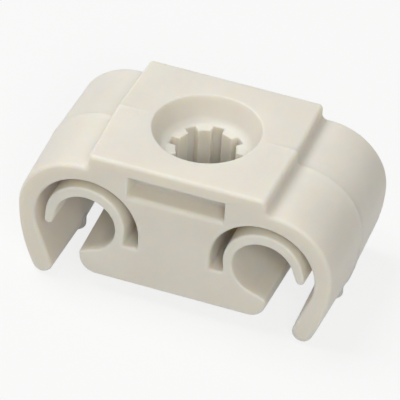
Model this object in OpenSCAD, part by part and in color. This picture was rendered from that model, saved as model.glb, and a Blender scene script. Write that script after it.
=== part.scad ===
// Two-pipe brake line clip, moulded in one piece of natural nylon.
// It pushes onto a threaded stud through its middle and holds one pipe in the curl on each side.
// The two mould halves part on the plane y = 0, so every outside wall leans in from there to both faces.

/* [Pipe seats] */
// Diameter of the pipe that each seat grips
line_d = 4.75; // [4.4:0.05:5]
// Distance between the two pipe axes
line_pitch = 13.9; // [13.5:0.1:15]
// Height of the pipe axes above the tips of the arms
seat_z = 5.6; // [5.2:0.1:6.4]
// Length of the clip along the pipes
depth = 12.8; // [9:0.1:18]

/* [Spring fingers] */
// Thickness of a finger at the parting plane
finger_t = 0.84; // [0.75:0.01:0.95]
// How far a finger's back is struck above the pipe axis, which thickens its crown
finger_rise = 0.15; // [0:0.01:0.25]
// Angle above the pipe axis where a finger runs out straight
finger_turn = 18; // [12:1:30]
// Length of the straight end of a finger, up to the centre of its round tip
finger_end = 0.8; // [0.5:0.05:1]

/* [Slots] */
// Mean width of the slot between a finger and its arm
slot_w = 0.65; // [0.55:0.01:0.85]
// How far inside the pipe axis a slot's outer wall is struck
slot_in = 0.1; // [0:0.01:0.2]
// How far below the pipe axis a slot's outer wall is struck
slot_drop = 0.15; // [0:0.01:0.25]
// Depth of a slot's floor below the pipe axis
slot_floor = 0.92; // [0.7:0.01:1.1]

/* [Guard arms] */
// Thickness of an arm beside its slot
arm_t = 1.62; // [1.3:0.01:2]
// Thickness of the roof over a slot
roof_t = 1.5; // [1.2:0.01:2]
// Radius of an arm's shoulder
shoulder_r = 4.75; // [4.2:0.05:5.2]
// Radius of the round tip of an arm
tip_r = 0.86; // [0.75:0.01:1]
// Distance of a tip's centre inside the widest point of its arm
tip_in = 2.1; // [1.8:0.05:2.4]

/* [Centre block] */
// Thickness of the block under the pipes
sill_t = 2.13; // [1.6:0.01:2.4]
// How far the block's lip reaches past the pipe axis
lip_reach = 0.43; // [0.2:0.01:0.6]
// Slope of the ramp that leads from the seat down to the lip
lip_slope = 25; // [20:1:30]
// Radius of the lip's nose
lip_r = 0.36; // [0.34:0.01:0.45]
// Radius of the block's lower corners
block_r = 1.33; // [0.8:0.01:1.5]

/* [Mounting pad] */
// Width of the pad that bears on the panel
pad_w = 13.96; // [12:0.02:14.6]
// Height of the pad above the arms
pad_h = 1.3; // [0.9:0.05:1.8]
// Radius of the pad's long edges
pad_edge_r = 0.3; // [0.1:0.05:0.5]
// Radius of the fillet at the pad's foot
foot_r = 0.5; // [0.3:0.05:0.7]

/* [Stud socket] */
// Diameter between the tips of the gripping ribs
grip_d = 4.5; // [4.2:0.05:4.7]
// Diameter at the bottom of the grooves between the ribs
groove_d = 5.5; // [5:0.05:5.6]
// Number of grooves, and so of ribs
groove_n = 8; // [6:1:10]
// Width of a groove between its parallel sides
groove_w = 0.82; // [0.6:0.02:0.9]
// Diameter of the lead-in funnel at the pad
funnel_d = 8.2; // [7.6:0.1:9]
// Depth of the funnel, down to the tops of the ribs
funnel_h = 2; // [1.5:0.1:2.5]
// Lean of the funnel's wall from the bore's axis
funnel_lean = 24; // [20:1:28]
// Radius between the funnel's wall and its floor
funnel_r = 0.9; // [0.5:0.05:1.2]

/* [Face pockets] */
// Width of the blind pocket in each face
pocket_w = 7.5; // [5:0.1:9]
// Height of a pocket
pocket_h = 1.7; // [1:0.05:2]
// Depth of a pocket
pocket_d = 1.57; // [0.8:0.01:1.8]
// Distance of a pocket's ceiling below the pad
pocket_drop = 1.28; // [1:0.01:1.6]
// Chamfer along a pocket's floor
pocket_chamfer = 0.35; // [0.1:0.05:0.5]

/* [Moulding] */
// How far a wall steps in between the parting plane and a face
draft = 0.18; // [0.05:0.01:0.2]
// Radius that breaks the edges of both faces
edge_r = 0.14; // [0.05:0.01:0.15]
// Width along the pipes of the gate stub under an arm
stub_w = 1.75; // [1.2:0.05:2.5]
// Length across an arm of its gate stub
stub_l = 2.4; // [2:0.05:2.8]
// Height of a gate stub
stub_h = 1; // [0.6:0.05:1.2]

/* [Hidden] */
natural_nylon = [0.89, 0.87, 0.83];
round_fn = 96;
eps = 0.01;
// How far a facet may stray from the arc that it stands for
chord_error = 0.006;
// How far inside a seat the section passes, where the seat is bored out of it afterwards
bite = 0.05;

line_r = line_d / 2;
seat_c = [line_pitch / 2, seat_z];
curl_c = seat_c + [0, finger_rise];
curl_r = line_r + finger_t;
slot_c = seat_c - [slot_in, slot_drop];
slot_r = curl_r + slot_w;
floor_z = seat_z - slot_floor;

half_span = slot_c.x + slot_r + arm_t;
arm_top = slot_c.y + slot_r + roof_t;
pad_top = arm_top + pad_h;
bore_top = pad_top - funnel_h;
shoulder_c = [half_span - shoulder_r, arm_top - shoulder_r];
tip_c = [half_span - tip_in, tip_r];

// The pad's corner, and the fillet at its foot, which ends before the shoulder starts to fall
pad_c = [pad_w / 2 - pad_edge_r, pad_top - pad_edge_r];
fillet_r = min(foot_r, shoulder_c.x - pad_w / 2);
fillet_c = [pad_w / 2 + fillet_r, arm_top + fillet_r];

// The arm's flank is the arc that leaves the shoulder upright and runs into the tip without a corner.
tip_fall = shoulder_c.y - tip_c.y;
flank_r = (tip_in * tip_in + tip_fall * tip_fall - tip_r * tip_r) / (2 * (tip_in - tip_r));
flank_c = [half_span - flank_r, shoulder_c.y];
flank_end = -atan2(tip_fall, tip_c.x - flank_c.x);

// The arm's inner wall is the straight line that touches the slot's outer wall and the tip.
slot_to_tip = tip_c - slot_c;
inner_wall = atan2(slot_to_tip.y, slot_to_tip.x) + acos((slot_r + tip_r) / norm(slot_to_tip));

// A finger leaves its seat along finger_dir, with its inner side touching the pipe.
finger_dir = [sin(finger_turn), -cos(finger_turn)];
finger_out = [cos(finger_turn), sin(finger_turn)];
tip_outside = curl_c + curl_r * finger_out + finger_end * finger_dir;
tip_inside = seat_c + line_r * finger_out + finger_end * finger_dir;
finger_tip_r = norm(tip_outside - tip_inside) / 2;
finger_tip_c = (tip_outside + tip_inside) / 2;

// The lip's ramp leaves the seat where the seat has the ramp's own slope, and touches the lip's nose.
ramp_out = [sin(lip_slope), cos(lip_slope)];
block_half = seat_c.x + lip_reach;
block_bottom = seat_z - line_r - sill_t;
nose_x = block_half - lip_r;
nose_fall = (line_r + lip_r + (nose_x - seat_c.x) * ramp_out.x) / ramp_out.y;
lip_c = [nose_x, seat_z - nose_fall];
block_c = [block_half - block_r, block_bottom + block_r];

// Points of an arc from angle a0 to angle a1, whose radius r has grown by grow
function arc(c, r, grow, a0, a1) = let (n = ceil(abs(a1 - a0) / (2 * acos(1 - chord_error / r))))
    [for (i = [0:n]) let (a = a0 + (a1 - a0) * i / n) c + (r + grow) * [cos(a), sin(a)]];

// A list without its first point, where an arc goes on from the one before it
function after_first(pts) = [for (i = [1:len(pts) - 1]) pts[i]];

// Right half of the section, from the middle of the pad round to the middle of the block, with
// every wall moved into the material by inset. Where a seat is open, the line passes inside it.
function half_outline(inset) = concat(
    arc(pad_c - [inset, inset], pad_edge_r, 0, 90, 0),
    arc(fillet_c - [inset, inset], fillet_r, 0, 180, 270),
    after_first(arc(shoulder_c, shoulder_r, -inset, 90, 0)),
    after_first(arc(flank_c, flank_r, -inset, 0, flank_end)),
    after_first(arc(tip_c, tip_r, -inset, flank_end, inner_wall - 180)),
    arc(slot_c, slot_r, inset, inner_wall, 180),
    [[slot_c.x - slot_r - inset, floor_z - inset]],
    [[curl_c.x - curl_r + inset, floor_z - inset]],
    arc(curl_c, curl_r, -inset, 180, finger_turn),
    arc(finger_tip_c, finger_tip_r, -inset, finger_turn, finger_turn - 180),
    [seat_c + (line_r - bite) * finger_out],
    [seat_c - (line_r - bite) * ramp_out],
    arc(lip_c, lip_r, -inset, 90 - lip_slope, 0),
    arc(block_c, block_r, -inset, 0, -90)
);

// Whole section: the right half, then its mirror image walked back
function outline(inset) = let (half = half_outline(inset))
    concat(half, [for (i = [len(half) - 1:-1:0]) [-half[i].x, half[i].y]]);

// Stations along the pipes as [y, inset]: drafted walls, then a rounded edge at the face
face_y = depth / 2;
edge_stations = [for (a = [0, 45, 90]) [face_y - edge_r + edge_r * sin(a), draft + edge_r * (1 - cos(a))]];
stations = concat(
    [for (i = [len(edge_stations) - 1:-1:0]) [-edge_stations[i][0], edge_stations[i][1]]],
    [[0, 0]],
    edge_stations
);

// Twice the signed area of a triangle, positive where a, b and c run anticlockwise
function turn(a, b, c) = (b.x - a.x) * (c.y - a.y) - (b.y - a.y) * (c.x - a.x);

// True where corner i of the loop can be cut off without crossing the rest of it
function is_ear(pts, loop, i) = let (
        n = len(loop),
        ia = loop[(i + n - 1) % n],
        ib = loop[i],
        ic = loop[(i + 1) % n],
        a = pts[ia],
        b = pts[ib],
        c = pts[ic]
    ) turn(a, b, c) > 0 && len([for (k = loop)
        if (k != ia && k != ib && k != ic
            && turn(a, b, pts[k]) >= 0 && turn(b, c, pts[k]) >= 0 && turn(c, a, pts[k]) >= 0) k]) == 0;

// First corner at or after i that can be cut off
function next_ear(pts, loop, i) = is_ear(pts, loop, i % len(loop)) ? i % len(loop) : next_ear(pts, loop, i + 1);

// Triangles that fill an anticlockwise loop of points, one corner cut off at a time
function fill(pts, loop, i = 0, tris = []) = len(loop) == 3 ? concat(tris, [loop]) :
    let (n = len(loop), e = next_ear(pts, loop, i))
    fill(
        pts,
        [for (k = [0:n - 1]) if (k != e) loop[k]],
        e,
        concat(tris, [[loop[(e + n - 1) % n], loop[e], loop[(e + 1) % n]]])
    );

// Solid through the section at every station
module moulded_form() {
    sections = [for (s = stations) outline(s[1])];
    n = len(sections[0]);
    last = len(stations) - 1;
    points = [for (k = [0:last], p = sections[k]) [p.x, stations[k][0], p.y]];
    walls = [for (k = [0:last - 1], i = [0:n - 1]) let (j = (i + 1) % n)
        [k * n + i, (k + 1) * n + i, (k + 1) * n + j, k * n + j]];
    cap = fill(sections[0], [for (i = [n - 1:-1:0]) i]);
    front = [for (t = cap) [t[2], t[1], t[0]]];
    back = [for (t = cap) last * n * [1, 1, 1] + t];
    polyhedron(points, concat(walls, front, back), convexity = 10);
}

// One pipe's seat
module seat() {
    translate([seat_c.x, 0, seat_c.y])
        rotate([90, 0, 0])
            cylinder(r = line_r, h = depth + 2 * eps, center = true, $fn = round_fn);
}

// Funnel that leads the stud in, with a round foot to its wall
module funnel() {
    rim_r = funnel_d / 2;
    corner_r = rim_r - funnel_h * tan(funnel_lean);
    foot_c = [corner_r - funnel_r * tan((90 - funnel_lean) / 2), bore_top + funnel_r];
    rotate_extrude($fn = round_fn)
        polygon(concat(
            [[0, bore_top]],
            arc(foot_c, funnel_r, 0, -90, -funnel_lean),
            [[rim_r, pad_top], [rim_r, pad_top + 1], [0, pad_top + 1]]
        ));
}

// Funnel and grooved bore for the stud
module stud_socket() {
    funnel();
    cylinder(d = grip_d, h = bore_top + eps, $fn = round_fn);
    intersection() {
        cylinder(d = groove_d, h = bore_top + eps, $fn = round_fn);
        for (i = [0:groove_n - 1])
            rotate([0, 0, i * 360 / groove_n])
                translate([0, -groove_w / 2, 0])
                    cube([groove_d, groove_w, pad_top]);
    }
}

// Blind pocket in the front face, with a chamfered floor edge
module pocket() {
    y0 = -face_y;
    z1 = pad_top - pocket_drop;
    z0 = z1 - pocket_h;
    rotate([90, 0, 90])
        linear_extrude(height = pocket_w, center = true)
            polygon([
                [y0 - eps, z1],
                [y0 + pocket_d, z1],
                [y0 + pocket_d, z0],
                [y0 + pocket_chamfer, z0],
                [y0 - eps, z0 - pocket_chamfer]
            ]);
}

// Gate stub at the parting plane under an arm, with half-round ends
module gate_stub() {
    reach = (stub_l - stub_w) / 2;
    translate([tip_c.x - reach, -stub_w / 2, 0])
        cube([2 * reach, stub_w, stub_h]);
    for (s = [-1, 1])
        translate([tip_c.x + s * reach, 0, 0])
            cylinder(d = stub_w, h = stub_h, $fn = round_fn);
}

module clip_body() {
    color(natural_nylon)
        difference() {
            union() {
                moulded_form();
                gate_stub();
                mirror([1, 0, 0]) gate_stub();
            }
            seat();
            mirror([1, 0, 0]) seat();
            stud_socket();
            pocket();
            mirror([0, 1, 0]) pocket();
        }
}

clip_body();
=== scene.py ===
# %% [markdown]
# # A two-pipe brake line clip in natural nylon
#
# The real clip is one small moulding, about 25 mm wide. It pushes onto a stud through its middle
# and holds one pipe in the curl on each side. The CAD solid already has its shape, so this
# notebook makes the surface that a camera sees: the soft edges, the witness line of the mould
# and the slightly cloudy plastic. We start by loading the CAD model, which also fixes the scale.

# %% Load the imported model
import math

import bmesh
import bpy
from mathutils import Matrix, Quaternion, Vector
from mathutils.geometry import delaunay_2d_cdt


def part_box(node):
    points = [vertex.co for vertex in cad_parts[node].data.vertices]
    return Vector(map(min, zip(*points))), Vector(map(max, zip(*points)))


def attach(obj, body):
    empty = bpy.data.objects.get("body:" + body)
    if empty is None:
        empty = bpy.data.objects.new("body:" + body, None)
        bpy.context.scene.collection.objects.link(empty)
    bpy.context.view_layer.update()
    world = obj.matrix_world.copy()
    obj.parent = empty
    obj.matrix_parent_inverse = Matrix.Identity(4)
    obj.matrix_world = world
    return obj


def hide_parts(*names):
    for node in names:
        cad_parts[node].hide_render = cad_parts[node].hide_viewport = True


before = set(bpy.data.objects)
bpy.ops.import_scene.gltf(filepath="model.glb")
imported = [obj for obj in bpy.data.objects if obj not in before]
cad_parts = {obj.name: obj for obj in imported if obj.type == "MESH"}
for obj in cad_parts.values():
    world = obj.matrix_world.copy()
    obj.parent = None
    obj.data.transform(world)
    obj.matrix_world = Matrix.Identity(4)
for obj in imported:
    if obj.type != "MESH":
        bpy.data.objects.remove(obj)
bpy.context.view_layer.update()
MM = 0.001

# %% [markdown]
# The camera comes first. The photo was taken with a long lens from the front, a little to the right
# and above, and the camera was held slightly turned. Three angles, a distance and the point in
# the middle of the picture are easier to read, and to change, than a matrix.

# %% Camera
AZIMUTH, ELEVATION, ROLL = math.radians(18.443), math.radians(38.463), math.radians(3.199)
AIM = Vector((0.813, -3.166, 8.010)) * MM
DISTANCE = 343.81 * MM

towards_eye = Vector((
    math.sin(AZIMUTH) * math.cos(ELEVATION),
    -math.cos(AZIMUTH) * math.cos(ELEVATION),
    math.sin(ELEVATION),
))
camera_data = bpy.data.cameras.new("camera")
camera_data.lens = 423.0
camera_data.sensor_width = 36.0
camera_data.clip_start, camera_data.clip_end = 0.01, 10.0
camera = bpy.data.objects.new("camera", camera_data)
camera.location = AIM + towards_eye * DISTANCE
camera.rotation_mode = "QUATERNION"
camera.rotation_quaternion = towards_eye.to_track_quat("Z", "Y") @ Quaternion((0, 0, 1), ROLL)
bpy.context.scene.collection.objects.link(camera)
bpy.context.scene.camera = camera
print("camera at", [round(v / MM, 1) for v in camera.location], "mm")

# %% [markdown]
# ## The sizes of the section
#
# Seen along the pipes, the clip has one outline: pad, arm, slot, finger, seat, lip and block.
# The two mould halves meet in the plane y = 0, where the outline is largest, and every outside
# wall leans in from there, so that the part comes out of the mould. The sizes below are in
# millimetres and hold at that parting plane. The overall ones are read from the CAD box.

# %% Sizes in millimetres
low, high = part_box("clip_body")
HALF_SPAN = high.x / MM + 0.05
FACE_Y = high.y / MM
PAD_TOP = high.z / MM + 0.12

LINE_R = 2.375
SEAT = Vector((6.95, 5.64))
CURL = SEAT + Vector((0, 0.15))
CURL_R = LINE_R + 0.84
SLOT = SEAT - Vector((0.1, 0.15))
SLOT_R = CURL_R + 0.65
FLOOR_Z = SEAT.y - 0.92
ARM_TOP = PAD_TOP - 1.25
PAD_HALF = 7.03
BLOCK_HALF = SEAT.x + 0.53
BLOCK_BOTTOM = SEAT.y - LINE_R - 2.27
DRAFT = 0.18
print(f"section {2 * HALF_SPAN:.2f} wide, {PAD_TOP:.2f} high, {2 * FACE_Y:.2f} deep")

# %% [markdown]
# ## A point of the outline
#
# Moulded edges are never sharp, and the walls of this clip lean. Both are the same kind of
# change: a point of the outline moves into the material as we walk from the parting plane to a
# face. So each point keeps where it is at the parting plane, the direction `lean` in which the
# draft takes it, the direction `edge` in which the rounding at the face takes it, and the radius
# of that rounding. An arc gives all of this at once.

# %% Outline points and arcs
def polar(angle, radius=1.0):
    return Vector((math.cos(math.radians(angle)), math.sin(math.radians(angle)))) * radius


def point(place, lean, edge_r, edge=None):
    return {
        "place": Vector(place), "lean": Vector(lean),
        "edge": Vector(lean if edge is None else edge), "edge_r": edge_r
    }


def arc(centre, radius, start, end, edge_r, into=-1, steps=None, slide=None):
    """Points of an arc. into is -1 where the material is inside the arc and 1 where it is outside."""
    steps = steps or max(4, round(abs(end - start) / 4))
    made = []
    for i in range(steps + 1):
        way = polar(start + (end - start) * i / steps)
        made.append(point(centre + way * radius, way * into if slide is None else slide, edge_r))
    return made


print("a quarter arc has", len(arc(Vector((0, 0)), 1.0, 0, 90, 0.1)), "points")

# %% [markdown]
# ## The outline of one half
#
# We walk down the right half, from the pad's edge to the bottom of the block. The arcs meet
# without corners: the arm's flank is the arc that leaves the shoulder upright and touches the
# round tip, and the inner wall is the line that touches both the tip and the slot.

# %% Pad, arm and slot
SHOULDER_R, TIP_R, TIP_IN, TIP_Z = 4.9, 0.96, 2.15, -0.15
SOFT, FINE = 0.3, 0.16

shoulder = Vector((HALF_SPAN - SHOULDER_R, ARM_TOP - SHOULDER_R))
tip = Vector((HALF_SPAN - TIP_IN, TIP_R + TIP_Z))
fall = shoulder.y - tip.y
flank_r = (TIP_IN**2 + fall**2 - TIP_R**2) / (2 * (TIP_IN - TIP_R))
flank = Vector((HALF_SPAN - flank_r, shoulder.y))
flank_end = -math.degrees(math.atan2(fall, tip.x - flank.x))
slot_to_tip = tip - SLOT
inner_wall = math.degrees(
    math.atan2(slot_to_tip.y, slot_to_tip.x) + math.acos((SLOT_R + TIP_R) / slot_to_tip.length)
)
PAD_EDGE_R, CORNER_R = 0.3, 0.16
FOOT_R = min(0.5, shoulder.x - PAD_HALF)
aside = Vector((-1, -1))

arm_outline = [
    *arc(
        Vector((PAD_HALF - PAD_EDGE_R, PAD_TOP - PAD_EDGE_R)), PAD_EDGE_R, 90, 0, SOFT, slide=aside,
        steps=8
    ),
    *arc(
        Vector((PAD_HALF + FOOT_R, ARM_TOP + FOOT_R)), FOOT_R, 180, 270, SOFT, slide=aside, steps=8
    ),
    *arc(shoulder, SHOULDER_R, 90, 0, SOFT, steps=30)[1:],
    *arc(flank, flank_r, 0, flank_end, SOFT, steps=14)[1:],
    *arc(tip, TIP_R, flank_end, inner_wall - 180, SOFT, steps=24)[1:],
    *arc(SLOT, SLOT_R, inner_wall, 180, SOFT, into=1, steps=52),
    *arc(
        Vector((SLOT.x - SLOT_R + CORNER_R, FLOOR_Z + CORNER_R)), CORNER_R, 180, 270, SOFT,
        slide=aside, steps=4
    ),
]
print(len(arm_outline), "points round the arm; inner wall at", round(inner_wall, 1), "degrees")

# %% [markdown]
# The finger curls round the pipe and ends in a short straight tip. The seat itself is the pipe's
# own cylinder, which has no draft: only its mouth is rounded, away from the pipe. Below it, the
# block has a lip with a ramp, so that a pipe can be pushed in past it. On the real clip the left
# finger has set a little further in than the right one, so each has its own two numbers.

# %% Finger, seat, lip and block
LIP_SLOPE, LIP_R, BLOCK_R, FINGER_DRAFT = 9, 0.36, 1.5, 0.6
RIGHT_FINGER, LEFT_FINGER = (13, 0.72), (4, 0.75)

ramp_out = polar(90 - LIP_SLOPE)
nose_x = BLOCK_HALF - LIP_R
nose_fall = (LINE_R + LIP_R + (nose_x - SEAT.x) * ramp_out.x) / ramp_out.y


def half_outline(turn, end):
    """One half of the outline. The finger curls to the angle turn and goes on straight by end."""
    out = polar(turn)
    way = Vector((out.y, -out.x))
    tip_outside = CURL + out * CURL_R + way * end
    tip_inside = SEAT + out * LINE_R + way * end
    finger = [
        *arc(CURL, CURL_R, 180, turn, FINE, steps=46),
        *arc(
            (tip_outside + tip_inside) / 2, (tip_outside - tip_inside).length / 2, turn, turn - 180,
            FINE, steps=18
        ),
    ]
    for p in finger:
        p["lean"] *= FINGER_DRAFT
    seat = arc(SEAT, LINE_R, turn, 270 - LIP_SLOPE, FINE, into=1, steps=56)
    for p in seat:
        p["lean"] = Vector((0, 0))
    return [
        *arm_outline,
        *arc(
            Vector((CURL.x - CURL_R - CORNER_R, FLOOR_Z + CORNER_R)), CORNER_R, 270, 360, FINE,
            slide=Vector((1, -1)), steps=4
        ),
        *finger,
        *seat,
        *arc(Vector((nose_x, SEAT.y - nose_fall)), LIP_R, 90 - LIP_SLOPE, 0, FINE, steps=10),
        *arc(
            Vector((BLOCK_HALF - BLOCK_R, BLOCK_BOTTOM + BLOCK_R)), BLOCK_R, 0, -90, SOFT, steps=20
        ),
    ]


right_half, left_half = half_outline(*RIGHT_FINGER), half_outline(*LEFT_FINGER)
print(len(right_half), "points in the right half of the outline")

# %% [markdown]
# ## Stations along the pipes
#
# The loft needs to know where to place the outline. `reach` goes from -1 at one face to 1 at the
# other, `turn` is how far round the edge's quarter circle the station is, and `bead` raises the
# thin line of flash that the mould leaves at its parting plane.

# %% Stations
EDGE_STEPS = 6
BEAD_HALF = 0.07 / FACE_Y

side = [(r, 0.0, 0.0) for r in (0.12, 0.4, 0.7)] + [
    (1.0, math.pi / 2 * i / EDGE_STEPS, 0.0) for i in range(EDGE_STEPS + 1)
]
stations = (
    [(-r, t, b) for r, t, b in reversed(side)]
    + [
        (-BEAD_HALF, 0, 0), (-BEAD_HALF * 0.4, 0, 0.9), (0, 0, 1), (BEAD_HALF * 0.4, 0, 0.9),
        (BEAD_HALF, 0, 0)
    ]
    + side
)
print(len(stations), "stations from face to face")

# %% [markdown]
# Geometry Nodes read such values as named attributes on a mesh. One small helper turns a list of
# points into a mesh of loose vertices that carries them.

# %% Points with attributes
def carrier(name, places, numbers=(), arrows=()):
    """A mesh object of loose vertices with named numbers and vectors on them."""
    mesh = bpy.data.meshes.new(name)
    mesh.from_pydata([tuple(p) for p in places], [], [])
    for key, values in dict(numbers).items():
        mesh.attributes.new(key, "FLOAT", "POINT").data.foreach_set("value", values)
    for key, values in dict(arrows).items():
        flat = [c for v in values for c in v]
        mesh.attributes.new(key, "FLOAT_VECTOR", "POINT").data.foreach_set("vector", flat)
    made = bpy.data.objects.new(name, mesh)
    bpy.context.scene.collection.objects.link(made)
    return made


def upright(v, sign=1):
    return (sign * v.x, 0.0, v.y)


ring = [(p, 1) for p in right_half] + [(p, -1) for p in reversed(left_half)]
FLASH_LOW_ARM = 0.05


def flash_of(p, sign):
    """Flash is a hair high, and stands prouder low on the outside of the right arm."""
    low_arm = sign > 0 and p["place"].x > 10.4 and 1.2 < p["place"].y < 4.6
    return 0.0 if p["lean"].length == 0 else 0.025 + (FLASH_LOW_ARM if low_arm else 0.0)


section = carrier(
    "section",
    [upright(p["place"] * MM, s) for p, s in ring],
    {
        "edge_r": [p["edge_r"] * MM for p, s in ring],
        "flash": [flash_of(p, s) * MM for p, s in ring]
    },
    {
        "lean": [upright(p["lean"], s) for p, s in ring],
        "edge": [upright(p["edge"], s) for p, s in ring]
    },
)
rail = carrier(
    "stations",
    [(0, s[0] * FACE_Y * MM, 0) for s in stations],
    {
        "reach": [s[0] for s in stations], "turn": [s[1] for s in stations],
        "bead": [s[2] for s in stations]
    },
)
print("section points:", len(section.data.vertices), " stations:", len(rail.data.vertices))

# %% [markdown]
# ## The loft as a node tree
#
# Extruding and scaling would bend the arcs, because every point leans in its own direction. So
# the tree makes a plain grid, one column for each outline point and one row for each station,
# and then moves every grid point by the rule. A grid costs nothing, stays all quads, and the
# rule stays readable. These small helpers add a node, set its inputs and give its output.

# %% Helpers for node trees
def add(tree, kind, inputs=None, **settings):
    node = tree.nodes.new(kind)
    for key, value in settings.items():
        setattr(node, key, value)
    for key, value in (inputs or {}).items():
        socket = node.inputs[key]
        if isinstance(value, bpy.types.NodeSocket):
            tree.links.new(value, socket)
        else:
            socket.default_value = value
    return node


def calc(tree, operation, *values):
    return add(tree, "ShaderNodeMath", dict(enumerate(values)), operation=operation).outputs[0]


def new_tree(name, inputs):
    """A geometry node tree with a geometry in and out and named inputs."""
    tree = bpy.data.node_groups.new(name, "GeometryNodeTree")
    tree.interface.new_socket("Geometry", in_out="INPUT", socket_type="NodeSocketGeometry")
    for label, kind in inputs.items():
        tree.interface.new_socket(label, in_out="INPUT", socket_type=kind)
    tree.interface.new_socket("Geometry", in_out="OUTPUT", socket_type="NodeSocketGeometry")
    return tree, tree.nodes.new("NodeGroupInput"), tree.nodes.new("NodeGroupOutput")


def run_tree(obj, tree, values):
    """The plain mesh that the tree makes from obj. The inputs are set by their identifiers."""
    modifier = obj.modifiers.new("shape", "NODES")
    modifier.node_group = tree
    for item in tree.interface.items_tree:
        if item.in_out == "INPUT" and item.name in values:
            modifier[item.identifier] = values[item.name]
    graph = bpy.context.evaluated_depsgraph_get()
    mesh = bpy.data.meshes.new_from_object(obj.evaluated_get(graph), depsgraph=graph)
    obj.modifiers.remove(modifier)
    return mesh


print("helpers ready")

# %% [markdown]
# The rule for a grid point is: go to the outline point, lean in by the draft times the reach,
# then round the edge by a quarter circle of that point's own radius, and last add the flash. The
# wide flat faces of the pad and of the block's underside are left out here, because they have
# the stud's hole in them and are filled later.

# %% Loft tree
def sampled(tree, geometry, name, index, kind="FLOAT"):
    attribute = add(tree, "GeometryNodeInputNamedAttribute", {"Name": name}, data_type=kind)
    picked = add(
        tree, "GeometryNodeSampleIndex", {"Geometry": geometry, "Index": index}, data_type=kind,
        domain="POINT"
    )
    tree.links.new(attribute.outputs["Attribute"], picked.inputs["Value"])
    return picked.outputs[0]


def loft_tree():
    tree, source, result = new_tree("loft_of_section", {
        "Stations": "NodeSocketObject", "Half Depth": "NodeSocketFloat", "Draft": "NodeSocketFloat",
        "Material": "NodeSocketMaterial",
    })
    outline = source.outputs["Geometry"]
    rows = add(
        tree, "GeometryNodeObjectInfo", {"Object": source.outputs["Stations"]}
    ).outputs["Geometry"]
    columns = add(
        tree, "GeometryNodeAttributeDomainSize", {"Geometry": outline}
    ).outputs["Point Count"]
    row_count = add(
        tree, "GeometryNodeAttributeDomainSize", {"Geometry": rows}
    ).outputs["Point Count"]
    grid = add(
        tree, "GeometryNodeMeshGrid",
        {"Vertices X": calc(tree, "ADD", columns, 1.0), "Vertices Y": row_count}
    )
    index = add(tree, "GeometryNodeInputIndex").outputs[0]
    column = calc(tree, "FLOOR", calc(tree, "DIVIDE", calc(tree, "ADD", index, 0.5), row_count))
    row = calc(tree, "SUBTRACT", index, calc(tree, "MULTIPLY", column, row_count))
    column = calc(tree, "MODULO", column, columns)
    place = add(
        tree, "GeometryNodeSampleIndex", {"Geometry": outline, "Index": column},
        data_type="FLOAT_VECTOR", domain="POINT"
    )
    tree.links.new(add(tree, "GeometryNodeInputPosition").outputs[0], place.inputs["Value"])
    lean = sampled(tree, outline, "lean", column, "FLOAT_VECTOR")
    edge = sampled(tree, outline, "edge", column, "FLOAT_VECTOR")
    edge_r = sampled(tree, outline, "edge_r", column)
    flash = sampled(tree, outline, "flash", column)
    reach, turn, bead = (sampled(tree, rows, name, row) for name in ("reach", "turn", "bead"))

    inset = calc(tree, "MULTIPLY", calc(tree, "ABSOLUTE", reach), source.outputs["Draft"])
    inset = calc(tree, "SUBTRACT", inset, calc(tree, "MULTIPLY", flash, bead))
    rounding = calc(
        tree, "MULTIPLY", edge_r, calc(tree, "SUBTRACT", 1.0, calc(tree, "COSINE", turn))
    )
    run = calc(tree, "SUBTRACT", source.outputs["Half Depth"], edge_r)
    along = calc(tree, "ADD", calc(tree, "MULTIPLY", reach, run),
                 calc(tree, "MULTIPLY", calc(tree, "MULTIPLY", edge_r, calc(tree, "SINE", turn)), calc(tree, "SIGN", reach)))
    leaned = add(
        tree, "ShaderNodeVectorMath", {0: lean, "Scale": inset}, operation="SCALE"
    ).outputs[0]
    rounded = add(
        tree, "ShaderNodeVectorMath", {0: edge, "Scale": rounding}, operation="SCALE"
    ).outputs[0]
    moved = add(
        tree, "ShaderNodeVectorMath", {0: place.outputs[0], 1: leaned}, operation="ADD"
    ).outputs[0]
    moved = add(tree, "ShaderNodeVectorMath", {0: moved, 1: rounded}, operation="ADD").outputs[0]
    moved = add(
        tree, "ShaderNodeVectorMath",
        {0: moved, 1: add(tree, "ShaderNodeCombineXYZ", {"Y": along}).outputs[0]}, operation="ADD"
    ).outputs[0]
    placed = add(
        tree, "GeometryNodeSetPosition", {"Geometry": grid.outputs["Mesh"], "Position": moved}
    ).outputs[0]

    where = add(
        tree, "ShaderNodeSeparateXYZ", {0: add(tree, "GeometryNodeInputPosition").outputs[0]}
    )
    in_middle = calc(tree, "LESS_THAN", calc(tree, "ABSOLUTE", where.outputs["X"]), 0.1 * MM)
    below_edge = calc(
        tree, "LESS_THAN", calc(tree, "ABSOLUTE", where.outputs["Y"]),
        calc(tree, "SUBTRACT", source.outputs["Half Depth"], SOFT * MM)
    )
    cut = add(
        tree, "GeometryNodeDeleteGeometry",
        {"Geometry": placed, "Selection": calc(tree, "MULTIPLY", in_middle, below_edge)},
        domain="FACE"
    ).outputs[0]
    closed = add(
        tree, "GeometryNodeMergeByDistance", {"Geometry": cut, "Distance": 1e-7}
    ).outputs[0]
    solid = add(tree, "GeometryNodeRealizeInstances", {"Geometry": closed}).outputs[0]
    painted = add(
        tree, "GeometryNodeSetMaterial", {"Geometry": solid, "Material": source.outputs["Material"]}
    ).outputs[0]
    tree.links.new(painted, result.inputs["Geometry"])
    return tree


nylon = bpy.data.materials.new("satin_nylon")
walls = run_tree(
    section, loft_tree(),
    {"Stations": rail, "Half Depth": FACE_Y * MM, "Draft": DRAFT * MM, "Material": nylon}
)
print("walls:", len(walls.vertices), "vertices,", len(walls.polygons), "faces")

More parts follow.
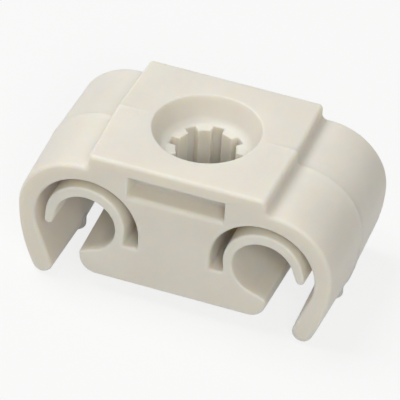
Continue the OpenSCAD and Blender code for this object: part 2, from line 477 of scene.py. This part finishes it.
# %% [markdown]
# ## The stud socket
#
# The stud meets a funnel and then eight ribs with parallel-sided grooves between them. That is
# one shape, repeated eight times round the axis, so we make a single sector and let the nodes
# repeat it. A sector runs from the middle of one rib to the middle of the next. Its outline uses
# the same points as the section, so that its edges can be rounded the same way.

# %% Outline of one sector
RIB_R, GROOVE_R, GROOVE_HALF, GROOVES = 2.25, 2.80, 0.41, 8
RIB_CORNER, GROOVE_CORNER = 0.12, 0.1
origin = Vector((0, 0))

groove_y = GROOVE_HALF - GROOVE_CORNER
groove_c = Vector((math.sqrt((GROOVE_R - GROOVE_CORNER) ** 2 - groove_y**2), groove_y))
rib_y = GROOVE_HALF + RIB_CORNER
rib_c = Vector((math.sqrt((RIB_R + RIB_CORNER) ** 2 - rib_y**2), rib_y))
groove_turn = math.degrees(math.atan2(groove_c.y, groove_c.x))
rib_turn = math.degrees(math.atan2(rib_c.y, rib_c.x))

half_sector = [
    *arc(origin, GROOVE_R, 0, groove_turn, 0, into=1, steps=2)[:-1],
    *arc(groove_c, GROOVE_CORNER, groove_turn, 90, 0, into=1, steps=4),
    *arc(rib_c, RIB_CORNER, 270, 180 + rib_turn, 0, steps=4),
    *arc(origin, RIB_R, rib_turn, 180 / GROOVES, 0, into=1, steps=4)[1:],
]


def mirrored(p):
    return point((p["place"].x, -p["place"].y), (p["lean"].x, -p["lean"].y), 0)


sector = [mirrored(p) for p in reversed(half_sector[1:])] + half_sector
print(len(sector), "points in a sector of", 360 / GROOVES, "degrees")

# %% [markdown]
# The sector is lofted down the axis: from the flat round the hole in the pad, over the rim, down
# the funnel's wall and its round foot, across the ledge, over the ribs' soft edges, down the
# bore and out to the flat under the block. The pad and the underside both lean with the draft,
# so `follow` says how much of that lean each ring takes.

# %% Rings of the sector
FUNNEL_R, FUNNEL_DEPTH, FUNNEL_LEAN, FOOT_ARC_R = 4.1, 2.0, 24, 0.9
RIM_R, RIB_EDGE_R, PAD_RING, BLOCK_RING, LEDGE_RING = 0.15, 0.09, 4.5, 3.3, 2.95
BORE_TOP = PAD_TOP - FUNNEL_DEPTH

wall_way = polar(90 - FUNNEL_LEAN)
foot_corner = FUNNEL_R - FUNNEL_DEPTH * math.tan(math.radians(FUNNEL_LEAN))
foot_c = Vector(
    (foot_corner - FOOT_ARC_R * math.tan(math.radians(45 - FUNNEL_LEAN / 2)), BORE_TOP + FOOT_ARC_R)
)


def ledge_z(radius):
    """Height of the ledge and of the round foot of the funnel's wall."""
    out = min(max(radius - foot_c.x, 0.0), FOOT_ARC_R)
    return foot_c.y - math.sqrt(FOOT_ARC_R**2 - out**2)


rim_turn = 90 - FUNNEL_LEAN
rim_c = Vector((FUNNEL_R + RIM_R * math.tan(math.radians(rim_turn / 2)), PAD_TOP - RIM_R))
rings = [("circle", PAD_RING, PAD_TOP, 1.0)]
for i in range(5):
    p = rim_c + polar(90 + rim_turn * i / 4, RIM_R)
    rings.append(("circle", p.x, p.y, 1.0))
wall_end = -FUNNEL_LEAN
for share in (0.25, 0.5, 0.75):
    start, end = rim_c + polar(90 + rim_turn, RIM_R), foot_c + polar(wall_end, FOOT_ARC_R)
    p = start.lerp(end, share)
    rings.append(("circle", p.x, p.y, 1.0 - share))
for i in range(9):
    p = foot_c + polar(wall_end - (90 - FUNNEL_LEAN) * i / 8, FOOT_ARC_R)
    if p.x > LEDGE_RING:
        rings.append(("circle", p.x, p.y, 0.0))
rings.append(("circle", LEDGE_RING, None, 0.0))
for i in range(5):
    turn = math.pi / 2 * (1 - i / 4)
    rings.append(
        ("star", RIB_EDGE_R * (1 - math.cos(turn)), -RIB_EDGE_R * (1 - math.sin(turn)), 0.0)
    )
for i in range(5):
    turn = math.pi / 2 * i / 4
    rings.append(
        (
            "under", RIB_EDGE_R * (1 - math.cos(turn)),
            BLOCK_BOTTOM + RIB_EDGE_R * (1 - math.sin(turn)), -1.0
        )
    )
rings.append(("circle", BLOCK_RING, BLOCK_BOTTOM, -1.0))


def ring_point(ring, p):
    kind, size, z, follow = ring
    if kind == "circle":
        flat = p["place"].normalized() * size
        return Vector((flat.x, flat.y, ledge_z(size) if z is None else z))
    flat = p["place"] + p["lean"] * size
    return Vector((flat.x, flat.y, ledge_z(flat.length) + z if kind == "star" else z))


sector_mesh = bpy.data.meshes.new("socket_sector")
columns = len(sector)
sector_mesh.from_pydata(
    [ring_point(r, p) * MM for r in rings for p in sector], [],
    [(r * columns + c, r * columns + c + 1, (r + 1) * columns + c + 1, (r + 1) * columns + c)
     for r in range(len(rings) - 1) for c in range(columns - 1)],
)
sector_mesh.attributes.new("follow", "FLOAT", "POINT").data.foreach_set(
    "value", [r[3] for r in rings for p in sector]
)
sector_obj = bpy.data.objects.new("socket_sector", sector_mesh)
bpy.context.scene.collection.objects.link(sector_obj)
print("sector:", len(sector_mesh.polygons), "faces on", len(rings), "rings")

# %% [markdown]
# The tree places the sector once for each rib, turned by an equal share of the circle, joins the
# seams, and then lets the rings follow the leaning faces of the pad and the block.

# %% Sectors round the axis
def ring_tree():
    tree, source, result = new_tree("sectors_round_axis", {
        "Count": "NodeSocketInt", "Slope": "NodeSocketFloat", "Material": "NodeSocketMaterial",
    })
    count = source.outputs["Count"]
    spots = add(tree, "GeometryNodeMeshLine", {"Count": count, "Offset": (0, 0, 0)}).outputs[0]
    index = add(tree, "GeometryNodeInputIndex").outputs[0]
    angle = calc(tree, "MULTIPLY", index, calc(tree, "DIVIDE", math.tau, count))
    turned = add(tree, "ShaderNodeCombineXYZ", {"Z": angle}).outputs[0]
    copies = add(
        tree, "GeometryNodeInstanceOnPoints",
        {"Points": spots, "Instance": source.outputs["Geometry"], "Rotation": turned}
    ).outputs[0]
    solid = add(tree, "GeometryNodeRealizeInstances", {"Geometry": copies}).outputs[0]
    closed = add(
        tree, "GeometryNodeMergeByDistance", {"Geometry": solid, "Distance": 1e-7}
    ).outputs[0]
    follow = add(
        tree, "GeometryNodeInputNamedAttribute", {"Name": "follow"}, data_type="FLOAT"
    ).outputs["Attribute"]
    y = add(
        tree, "ShaderNodeSeparateXYZ", {0: add(tree, "GeometryNodeInputPosition").outputs[0]}
    ).outputs["Y"]
    drop = calc(
        tree, "MULTIPLY",
        calc(tree, "MULTIPLY", calc(tree, "ABSOLUTE", y), source.outputs["Slope"]),
        calc(tree, "MULTIPLY", follow, -1.0)
    )
    placed = add(
        tree, "GeometryNodeSetPosition",
        {"Geometry": closed, "Offset": add(tree, "ShaderNodeCombineXYZ", {"Z": drop}).outputs[0]}
    ).outputs[0]
    painted = add(
        tree, "GeometryNodeSetMaterial",
        {"Geometry": placed, "Material": source.outputs["Material"]}
    ).outputs[0]
    tree.links.new(painted, result.inputs["Geometry"])
    return tree


SLOPE = DRAFT / (FACE_Y - SOFT)
socket = run_tree(sector_obj, ring_tree(), {"Count": GROOVES, "Slope": SLOPE, "Material": nylon})
print("socket:", len(socket.vertices), "vertices,", len(socket.polygons), "faces")

# %% [markdown]
# ## The pockets
#
# Each face has a blind pocket under the pad, which keeps the walls of the moulding even. It is a
# stack of rounded rectangles: a soft mouth, with a wider lead at its lower edge, straight walls
# and a round foot at the back.

# %% Pocket rings
POCKET_HALF, POCKET_TOP, POCKET_H, POCKET_D = 3.75, PAD_TOP - 1.32, 1.7, 1.57
MOUTH_R, LEAD_R, POCKET_CORNER, POCKET_FOOT = 0.1, 0.4, 0.14, 0.2


def pocket_ring(grow, lead, y):
    """A rounded rectangle grown by grow, with its lower edge lowered by lead."""
    left, right = -POCKET_HALF - grow, POCKET_HALF + grow
    top, bottom = POCKET_TOP + grow, POCKET_TOP - POCKET_H - lead
    r = POCKET_CORNER + min(grow, 0)
    ring = []
    for cx, cz, start in (
        (right - r, top - r, 0), (left + r, top - r, 90), (left + r, bottom + r, 180),
        (right - r, bottom + r, 270)
    ):
        for i in range(5):
            p = Vector((cx, cz)) + polar(start + 22.5 * i, r)
            ring.append(Vector((p.x, y, p.y)))
    return ring


def pocket_rings():
    rings = []
    for i in range(7):
        turn = math.pi / 2 * (1 - i / 6)
        rings.append(
            pocket_ring(
                MOUTH_R * (1 - math.cos(turn)), LEAD_R * (1 - math.cos(turn)),
                -FACE_Y + LEAD_R * (1 - math.sin(turn))
            )
        )
    for i in range(5):
        turn = math.pi / 2 * i / 4
        shrink = -POCKET_FOOT * (1 - math.cos(turn)) * 0.6
        rings.append(
            pocket_ring(shrink, shrink, -FACE_Y + POCKET_D - POCKET_FOOT * (1 - math.sin(turn)))
        )
    return rings


print(len(pocket_rings()), "rings in a pocket")

# %% [markdown]
# ## Joining it up
#
# The walls, the socket and the pockets now leave four openings: the two faces, the pad and the
# underside of the block. Each is nearly flat and has holes in it. A constrained Delaunay
# triangulation fills such a shape from the open edges alone, and uses the points that are
# already there, so nothing has to be merged afterwards.

# %% Fill between open edges
def inside(spot, segments):
    """Even-odd test: is spot inside the loops that the segments make?"""
    crossings = 0
    for a, b in segments:
        if (a.y > spot.y) != (b.y > spot.y) and spot.x < a.x + (spot.y - a.y) * (b.x - a.x) / (b.y - a.y):
            crossings += 1
    return crossings % 2 == 1


def fill_between(bm, edges, flatten, extra_points=(), extra_edges=()):
    """Fills the flat region that the open edges enclose. Returns the new faces."""
    verts = list(dict.fromkeys(v for e in edges for v in e.verts)) + list(extra_points)
    at = {v: i for i, v in enumerate(verts)}
    flat = [flatten(v.co / MM) for v in verts]
    pairs = [
        (at[e.verts[0]], at[e.verts[1]]) for e in edges
    ] + [(at[a], at[b]) for a, b in extra_edges]
    out, _, triangles, origins, _, _ = delaunay_2d_cdt(flat, pairs, [], 0, 1e-7)
    segments = [(flat[at[e.verts[0]]], flat[at[e.verts[1]]]) for e in edges]
    made = []
    for t in triangles:
        centre = sum((out[i] for i in t), Vector((0, 0))) / len(t)
        if inside(centre, segments):
            made.append(bm.faces.new([verts[origins[i][0]] for i in t]))
    return made


def open_edges(bm, test):
    return [e for e in bm.edges if len(e.link_faces) == 1 and all(test(v.co / MM) for v in e.verts)]


bm = bmesh.new()
bm.from_mesh(walls)
bm.from_mesh(socket)
for sign in (1, -1):
    loops = [
        [bm.verts.new(Vector((p.x, p.y * sign, p.z)) * MM) for p in ring] for ring in pocket_rings()
    ]
    for outer, inner in zip(loops, loops[1:]):
        for i in range(len(outer)):
            j = (i + 1) % len(outer)
            bm.faces.new((outer[i], outer[j], inner[j], inner[i]))
    bm.faces.new(loops[-1])
print("before filling:", len(bm.verts), "vertices")

# %% [markdown]
# The pad and the underside carry the witness line too. Its bead needs three rows of points that
# run from the wall to the ring round the socket.

# %% Faces, pad and underside
for y in (-FACE_Y, FACE_Y):
    rim = open_edges(bm, lambda p: abs(p.y - y) < 1e-3)
    print(
        "face at", y, "mm:", len(rim), "open edges,",
        len(fill_between(bm, rim, lambda p: Vector((p.x, p.z)))), "triangles"
    )


def fill_deck(level, ring_r, half):
    """Fills the pad or the underside, with the bead of flash along y = 0."""
    rim = open_edges(bm, lambda p: abs(p.z - level) < 0.35 and abs(p.x) <= half + 0.01)
    rim_verts = {v for e in rim for v in e.verts}
    up = 1 if level > FLOOR_Z else -1
    points, lines = [], []
    for sign in (-1, 1):
        outer = sorted(
            (v for v in rim_verts if v.co.x * sign > (half - 0.7) * MM and abs(v.co.y) < 0.1 * MM),
            key=lambda v: v.co.y
        )
        socket_side = min(
            rim_verts, key=lambda v: (v.co - Vector((sign * ring_r, 0, level)) * MM).length
        )
        inner = []
        for v in outer:
            x = sign * (ring_r + 0.25) * MM
            inner.append(bm.verts.new(Vector((x, v.co.y, v.co.z))))
        points += inner
        lines += list(zip(outer, inner)) + list(zip(inner, inner[1:])) + [
            (v, socket_side) for v in inner
        ]
    return fill_between(bm, rim, lambda p: Vector((p.x, p.y)), points, lines)


print("pad:", len(fill_deck(PAD_TOP, PAD_RING, PAD_HALF)), "triangles")
print("underside:", len(fill_deck(BLOCK_BOTTOM, BLOCK_RING, BLOCK_HALF)), "triangles")
bmesh.ops.recalc_face_normals(bm, faces=bm.faces)
print(
    "open edges left:", sum(len(e.link_faces) != 2 for e in bm.edges), " volume in mm3:",
    round(bm.calc_volume() / MM**3, 1)
)

# %% [markdown]
# ## The clip as an object
#
# The small roundings must shade softly and the wide faces must stay flat. The Weighted Normal
# modifier does that: the larger a face, the more it pulls the normals at its corners.

# %% Clip object
clip_mesh = bpy.data.meshes.new("clip")
bm.to_mesh(clip_mesh)
bm.free()
clip_mesh.materials.clear()
clip_mesh.materials.append(nylon)
clip_mesh.polygons.foreach_set("material_index", [0] * len(clip_mesh.polygons))
clip_mesh.polygons.foreach_set("use_smooth", [True] * len(clip_mesh.polygons))
clip = bpy.data.objects.new("clip", clip_mesh)
bpy.context.scene.collection.objects.link(clip)
weighted = clip.modifiers.new("flat faces", "WEIGHTED_NORMAL")
weighted.mode, weighted.weight, weighted.keep_sharp = "FACE_AREA", 50, True
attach(clip, "root")
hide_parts("clip_body")
for helper in (section, rail, sector_obj):
    bpy.data.objects.remove(helper)
print("clip:", sum(len(p.vertices) - 2 for p in clip_mesh.polygons), "triangles")

# %% [markdown]
# ## Gate stubs
#
# The plastic entered the mould through a small gate under each arm, and its broken stub is still
# there. It is a short slab with half-round ends that sits across the parting plane.

# %% Gate stubs
STUB_W, STUB_L, STUB_H, STUB_EDGE = 1.6, 2.1, 1.0, 0.12


def stub_ring(inset, z):
    reach = (STUB_L - STUB_W) / 2
    ring = []
    for sign, start in ((1, -90), (-1, 90)):
        for i in range(17):
            p = Vector((sign * reach, 0)) + polar(start + 180 * i / 16, STUB_W / 2 - inset)
            ring.append(Vector((p.x, p.y, z)))
    return ring


stubs = bmesh.new()
for sign in (-1, 1):
    rings_of_stub = [
        stub_ring(
            STUB_EDGE * (1 - math.cos(math.pi / 2 * (1 - i / 4))),
            STUB_EDGE * (1 - math.sin(math.pi / 2 * (1 - i / 4)))
        ) for i in range(5)
    ]
    rings_of_stub.append(stub_ring(0, STUB_H))
    loops = [
        [
            stubs.verts.new((p + Vector((sign * tip.x, 0, 0))) * MM) for p in ring
        ] for ring in rings_of_stub
    ]
    for outer, inner in zip(loops, loops[1:]):
        for i in range(len(outer)):
            j = (i + 1) % len(outer)
            stubs.faces.new((outer[i], outer[j], inner[j], inner[i]))
    stubs.faces.new(loops[0])
    stubs.faces.new(loops[-1])
bmesh.ops.recalc_face_normals(stubs, faces=stubs.faces)
stub_mesh = bpy.data.meshes.new("gate_stubs")
stubs.to_mesh(stub_mesh)
stubs.free()
stub_mesh.materials.append(nylon)
stub_mesh.polygons.foreach_set("use_smooth", [True] * len(stub_mesh.polygons))
gate_stubs = bpy.data.objects.new("gate_stubs", stub_mesh)
bpy.context.scene.collection.objects.link(gate_stubs)
stub_weight = gate_stubs.modifiers.new("flat faces", "WEIGHTED_NORMAL")
stub_weight.mode, stub_weight.weight = "FACE_AREA", 50
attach(gate_stubs, "root")
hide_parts("clip_body")
print("gate stubs:", len(stub_mesh.polygons), "faces")

# %% [markdown]
# ## Natural nylon
#
# Unpigmented nylon is milky: light goes in a little way and comes out warmer, which lifts the
# shadows in the slots. Its skin is satin, because it copies the fine finish of the mould. The
# grain and the faint clouds are one node group, so that both can be tuned in one place.

# %% Moulded skin group
def moulded_skin():
    group = bpy.data.node_groups.new("moulded_skin", "ShaderNodeTree")
    for label, kind in (("Grain Scale", "NodeSocketFloat"), ("Cloud Scale", "NodeSocketFloat")):
        group.interface.new_socket(label, in_out="INPUT", socket_type=kind)
    for label in ("Grain", "Clouds"):
        group.interface.new_socket(label, in_out="OUTPUT", socket_type="NodeSocketFloat")
    source, result = group.nodes.new("NodeGroupInput"), group.nodes.new("NodeGroupOutput")
    place = group.nodes.new("ShaderNodeTexCoord").outputs["Object"]
    grain = add(
        group, "ShaderNodeTexNoise",
        {"Vector": place, "Scale": source.outputs["Grain Scale"], "Detail": 3.0, "Roughness": 0.6}
    )
    clouds = add(
        group, "ShaderNodeTexNoise",
        {"Vector": place, "Scale": source.outputs["Cloud Scale"], "Detail": 4.0, "Roughness": 0.55}
    )
    group.links.new(grain.outputs[0], result.inputs["Grain"])
    group.links.new(clouds.outputs[0], result.inputs["Clouds"])
    return group


skin = moulded_skin()
print("group", skin.name, "ready")

# %% Nylon material
nylon.use_nodes = True
tree = nylon.node_tree
shader = tree.nodes["Principled BSDF"]
skin_node = tree.nodes.new("ShaderNodeGroup")
skin_node.node_tree = skin
skin_node.inputs["Grain Scale"].default_value = 9000.0
skin_node.inputs["Cloud Scale"].default_value = 260.0
tint = add(tree, "ShaderNodeValToRGB", {"Fac": skin_node.outputs["Clouds"]})
tint.color_ramp.elements[0].position, tint.color_ramp.elements[0].color = 0.3, (
    0.790, 0.755, 0.680, 1
)
tint.color_ramp.elements[1].position, tint.color_ramp.elements[1].color = 0.7, (
    0.825, 0.795, 0.725, 1
)
tree.links.new(tint.outputs[0], shader.inputs["Base Color"])
satin = add(
    tree, "ShaderNodeMapRange",
    {"Value": skin_node.outputs["Clouds"], "To Min": 0.42, "To Max": 0.54}
)
tree.links.new(satin.outputs[0], shader.inputs["Roughness"])
bump = add(
    tree, "ShaderNodeBump",
    {"Height": skin_node.outputs["Grain"], "Distance": 0.004 * MM, "Strength": 0.6}
)
tree.links.new(bump.outputs[0], shader.inputs["Normal"])
shader.inputs["Subsurface Weight"].default_value = 0.8
shader.inputs["Subsurface Radius"].default_value = (1.0, 0.75, 0.45)
shader.inputs["Subsurface Scale"].default_value = 1.4 * MM
shader.inputs["IOR"].default_value = 1.5
print("material", nylon.name, "has", len(tree.nodes), "nodes")

# %% [markdown]
# ## Floor and light
#
# The photograph is a cut-out on white. The floor is pale and shows white to the camera, but it
# still mixes in a little of its lit colour, so the clip's soft shadow stays. The main light comes
# from above and from the left, which leaves the right arm and the front in half shade.

# %% Floor
floor_mesh = bpy.data.meshes.new("floor")
FLOOR_LEVEL = TIP_Z * MM
floor_mesh.from_pydata(
    [(x, y, FLOOR_LEVEL) for x, y in ((-1.5, -1.5), (1.5, -1.5), (1.5, 1.5), (-1.5, 1.5))], [],
    [(0, 1, 2, 3)]
)
floor = bpy.data.objects.new("floor", floor_mesh)
bpy.context.scene.collection.objects.link(floor)

pale = bpy.data.materials.new("pale_floor")
pale.use_nodes = True
tree = pale.node_tree
lit = tree.nodes["Principled BSDF"]
lit.inputs["Base Color"].default_value = (0.8, 0.8, 0.8, 1)
lit.inputs["Roughness"].default_value = 0.9
lit.inputs["Specular IOR Level"].default_value = 0.0
white = add(tree, "ShaderNodeEmission", {"Color": (1, 1, 1, 1), "Strength": 1.0})
path = tree.nodes.new("ShaderNodeLightPath")
seen = calc(
    tree, "MAXIMUM", path.outputs["Is Camera Ray"],
    calc(tree, "MAXIMUM", path.outputs["Is Glossy Ray"], path.outputs["Is Transmission Ray"])
)
share = calc(tree, "MULTIPLY", seen, 0.8)
mixed = add(tree, "ShaderNodeMixShader", {0: share, 1: lit.outputs[0], 2: white.outputs[0]})
tree.links.new(mixed.outputs[0], tree.nodes["Material Output"].inputs["Surface"])
floor_mesh.materials.append(pale)
print("floor ready")

# %% World and lamps
world = bpy.data.worlds.new("soft_room")
bpy.context.scene.world = world
world.use_nodes = True
tree = world.node_tree
room = tree.nodes["Background"]
room.inputs["Color"].default_value = (1.0, 0.985, 0.955, 1)
room.inputs["Strength"].default_value = 0.25
white = add(tree, "ShaderNodeBackground", {"Color": (1, 1, 1, 1), "Strength": 1.0})
path = tree.nodes.new("ShaderNodeLightPath")
seen = calc(
    tree, "MAXIMUM", path.outputs["Is Camera Ray"],
    calc(tree, "MAXIMUM", path.outputs["Is Glossy Ray"], path.outputs["Is Transmission Ray"])
)
mixed = add(tree, "ShaderNodeMixShader", {0: seen, 1: room.outputs[0], 2: white.outputs[0]})
tree.links.new(mixed.outputs[0], tree.nodes["World Output"].inputs["Surface"])


def softbox(name, place, size, watts, color=(1, 1, 1)):
    """A square area lamp at place, in metres, aimed at the clip."""
    data = bpy.data.lights.new(name, "AREA")
    data.size, data.energy, data.color = size, watts, color
    lamp = bpy.data.objects.new(name, data)
    lamp.location = place
    lamp.rotation_mode = "QUATERNION"
    lamp.rotation_quaternion = (Vector(place) - AIM).to_track_quat("Z", "Y")
    bpy.context.scene.collection.objects.link(lamp)
    return lamp


softbox("key", (-0.2, 0.02, 0.42), 0.25, 1.22, (1.0, 0.995, 0.985))
softbox("fill", (0.19, -0.345, 0.3), 0.15, 0.75, (1.0, 0.985, 0.95))
bpy.context.scene.view_settings.view_transform = "Standard"
